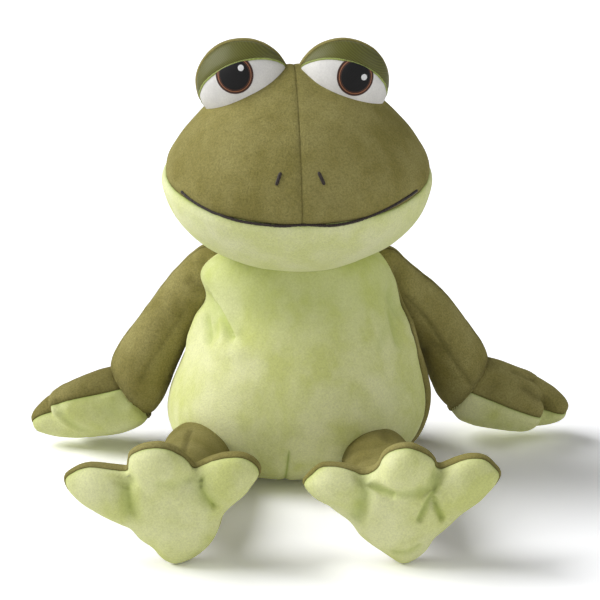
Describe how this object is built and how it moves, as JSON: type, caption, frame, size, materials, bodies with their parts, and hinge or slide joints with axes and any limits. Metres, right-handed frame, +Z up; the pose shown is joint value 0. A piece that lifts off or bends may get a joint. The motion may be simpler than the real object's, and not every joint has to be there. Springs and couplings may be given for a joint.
{
  "type": "plush frog",
  "caption": "Seated plush frog with a broad smiling head, raised eyes, turning limbs and webbed feet, sewn from short pile fabric.",
  "frame": {"origin": "middle of the flat seat, on the surface that the toy sits on, below the neck's axis", "axes": "+Z up, -Y the way that the frog faces, +X to the frog's own left"},
  "size_m": [0.3826, 0.267, 0.2998],
  "materials": {
    "light_green_plush": "short soft pile, light yellow green",
    "olive_plush": "short soft pile, olive green",
    "eye_white_plush": "short white pile",
    "eyelid_satin_stitch": "dark green satin stitch",
    "eyelid_piping": "sewn edge of olive thread",
    "iris_thread": "brown embroidery thread",
    "black_thread": "near-black embroidery thread",
    "highlight_thread": "white embroidery thread",
    "fibre_filling": "loose polyester fibre",
    "pellet_bag_cloth": "plain woven cloth"
  },
  "bodies": {
    "torso": {"belly": "light_green_plush", "back_left": "olive_plush", "back_right": "olive_plush", "body_stuffing": "fibre_filling", "pellet_bag": "pellet_bag_cloth"},
    "head": {"crown_left": "olive_plush", "crown_right": "olive_plush", "chin": "light_green_plush", "head_back": "olive_plush", "head_stuffing": "fibre_filling", "mouth_line": "black_thread", "nostril_left": "black_thread", "nostril_right": "black_thread", "eye_white_left": "eye_white_plush", "eyelid_left": "eyelid_satin_stitch", "eyelid_trim_left": "eyelid_piping", "eye_back_left": "olive_plush", "eye_stuffing_left": "fibre_filling", "iris_left": "iris_thread", "pupil_left": "black_thread", "highlight_left": "highlight_thread", "eye_white_right": "eye_white_plush", "eyelid_right": "eyelid_satin_stitch", "eyelid_trim_right": "eyelid_piping", "eye_back_right": "olive_plush", "eye_stuffing_right": "fibre_filling", "iris_right": "iris_thread", "pupil_right": "black_thread", "highlight_right": "highlight_thread"},
    "arm_left": {"sleeve_front_left": "olive_plush", "sleeve_back_left": "olive_plush", "arm_stuffing_left": "fibre_filling"},
    "hand_left": {"hand_back_left": "olive_plush", "palm_left": "light_green_plush", "hand_stuffing_left": "fibre_filling"},
    "leg_left": {"leg_top_left": "olive_plush", "leg_under_left": "olive_plush", "leg_stuffing_left": "fibre_filling"},
    "foot_left": {"foot_top_left": "olive_plush", "sole_left": "light_green_plush", "foot_stuffing_left": "fibre_filling"},
    "arm_right": {"sleeve_front_right": "olive_plush", "sleeve_back_right": "olive_plush", "arm_stuffing_right": "fibre_filling"},
    "hand_right": {"hand_back_right": "olive_plush", "palm_right": "light_green_plush", "hand_stuffing_right": "fibre_filling"},
    "leg_right": {"leg_top_right": "olive_plush", "leg_under_right": "olive_plush", "leg_stuffing_right": "fibre_filling"},
    "foot_right": {"foot_top_right": "olive_plush", "sole_right": "light_green_plush", "foot_stuffing_right": "fibre_filling"}
  },
  "joints": [
    {"name": "neck_turn", "type": "hinge", "parent": "torso", "child": "head", "pos_m": [0, 0, 0.166], "axis": [0, 0, 1], "range_deg": [-30, 30], "stiffness_Nm_per_rad": 0.1},
    {"name": "shoulder_left", "type": "hinge", "parent": "torso", "child": "arm_left", "pos_m": [0.0615, 0.018, 0.13], "axis": [0, -1, 0], "range_deg": [0, 60]},
    {"name": "wrist_left", "type": "hinge", "parent": "arm_left", "child": "hand_left", "pos_m": [0.1215, 0.04, 0.043], "axis": [0, 1, 0], "range_deg": [-25, 25], "stiffness_Nm_per_rad": 0.05},
    {"name": "hip_left", "type": "hinge", "parent": "torso", "child": "leg_left", "pos_m": [0.05, -0.058, 0.0235], "axis": [1, 0, 0], "range_deg": [-10, 60]},
    {"name": "ankle_left", "type": "hinge", "parent": "leg_left", "child": "foot_left", "pos_m": [0.065, -0.162, 0.0345], "axis": [1, 0, 0], "range_deg": [-20, 20], "stiffness_Nm_per_rad": 0.05},
    {"name": "shoulder_right", "type": "hinge", "parent": "torso", "child": "arm_right", "pos_m": [-0.0615, 0.018, 0.13], "axis": [0, 1, 0], "range_deg": [0, 60]},
    {"name": "wrist_right", "type": "hinge", "parent": "arm_right", "child": "hand_right", "pos_m": [-0.1215, 0.026, 0.043], "axis": [0, 1, 0], "range_deg": [-25, 25], "stiffness_Nm_per_rad": 0.05},
    {"name": "hip_right", "type": "hinge", "parent": "torso", "child": "leg_right", "pos_m": [-0.065, -0.049, 0.0235], "axis": [1, 0, 0], "range_deg": [-10, 60]},
    {"name": "ankle_right", "type": "hinge", "parent": "leg_right", "child": "foot_right", "pos_m": [-0.0815, -0.162, 0.0345], "axis": [1, 0, 0], "range_deg": [-20, 20], "stiffness_Nm_per_rad": 0.05}
  ]
}
